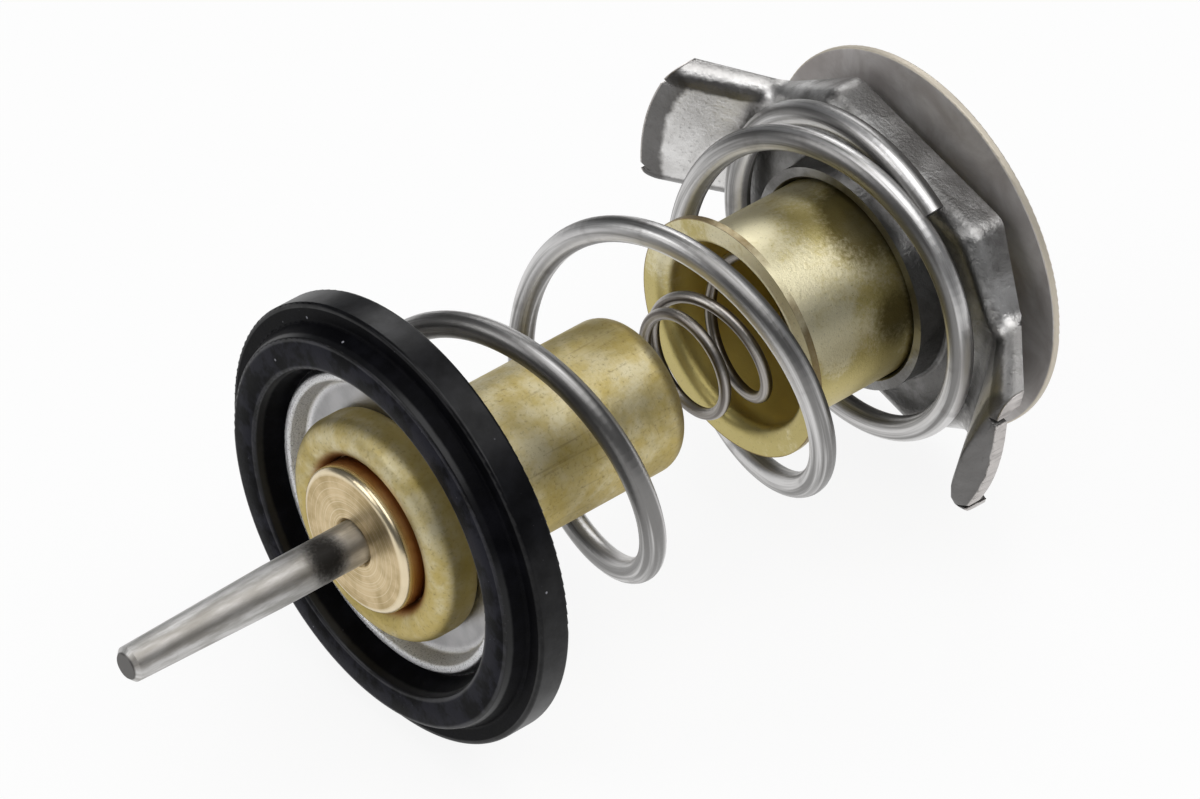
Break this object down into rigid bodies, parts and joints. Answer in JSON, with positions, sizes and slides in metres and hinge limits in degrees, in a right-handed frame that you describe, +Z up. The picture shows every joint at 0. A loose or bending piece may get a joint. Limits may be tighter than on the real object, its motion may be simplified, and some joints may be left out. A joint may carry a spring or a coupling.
{
  "type": "engine thermostat",
  "caption": "Wax-element coolant valve with rubber-rimmed valve disc, tapered return spring, eared retainer frame and sprung bypass cup and disc.",
  "frame": {"origin": "centre of the base of the bounding box: midway along the part and across it, at the floor it lies on", "axes": "+X along the part's axis from the rod's tip to the bypass disc, +Y sideways, +Z up; the axis is 22 mm above the floor"},
  "size_m": [0.0948, 0.0504, 0.044],
  "materials": {
    "rod_steel": "ground, polished",
    "bronze": "turned",
    "case_brass": "drawn, satin",
    "cup_brass": "drawn, tarnished",
    "plate_steel": "pressed, satin",
    "spring_steel": "drawn wire, bright",
    "frame_steel": "stamped, satin",
    "disc_steel": "rolled sheet, satin",
    "rivet_steel": "headed, satin",
    "seal_rubber": "moulded, satin",
    "boot_rubber": "moulded, matte",
    "washer_plastic": "matte",
    "wax": "waxy"
  },
  "bodies": {
    "frame": {"retainer_frame": "frame_steel", "main_spring": "spring_steel"},
    "valve": {"element_case": "case_brass", "guide_boss": "bronze", "rubber_boot": "boot_rubber", "rod_washer": "washer_plastic", "wax_charge": "wax", "valve_plate": "plate_steel", "valve_seal": "seal_rubber"},
    "rod": {"piston_rod": "rod_steel"},
    "bypass": {"bypass_cup": "cup_brass", "bypass_disc": "disc_steel", "disc_rivet": "rivet_steel", "bypass_spring": "spring_steel"}
  },
  "joints": [
    {"name": "valve_slide", "type": "slide", "parent": "frame", "child": "valve", "axis": [1, 0, 0], "range_m": [0, 0.01], "stiffness_N_per_m": 4900, "deforming": ["main_spring", "bypass_spring"]},
    {"name": "rod_slide", "type": "slide", "parent": "valve", "child": "rod", "axis": [-1, 0, 0], "range_m": [0, 0.009]},
    {"name": "bypass_slide", "type": "slide", "parent": "frame", "child": "bypass", "axis": [1, 0, 0], "range_m": [-0.001, 0.0125]}
  ]
}
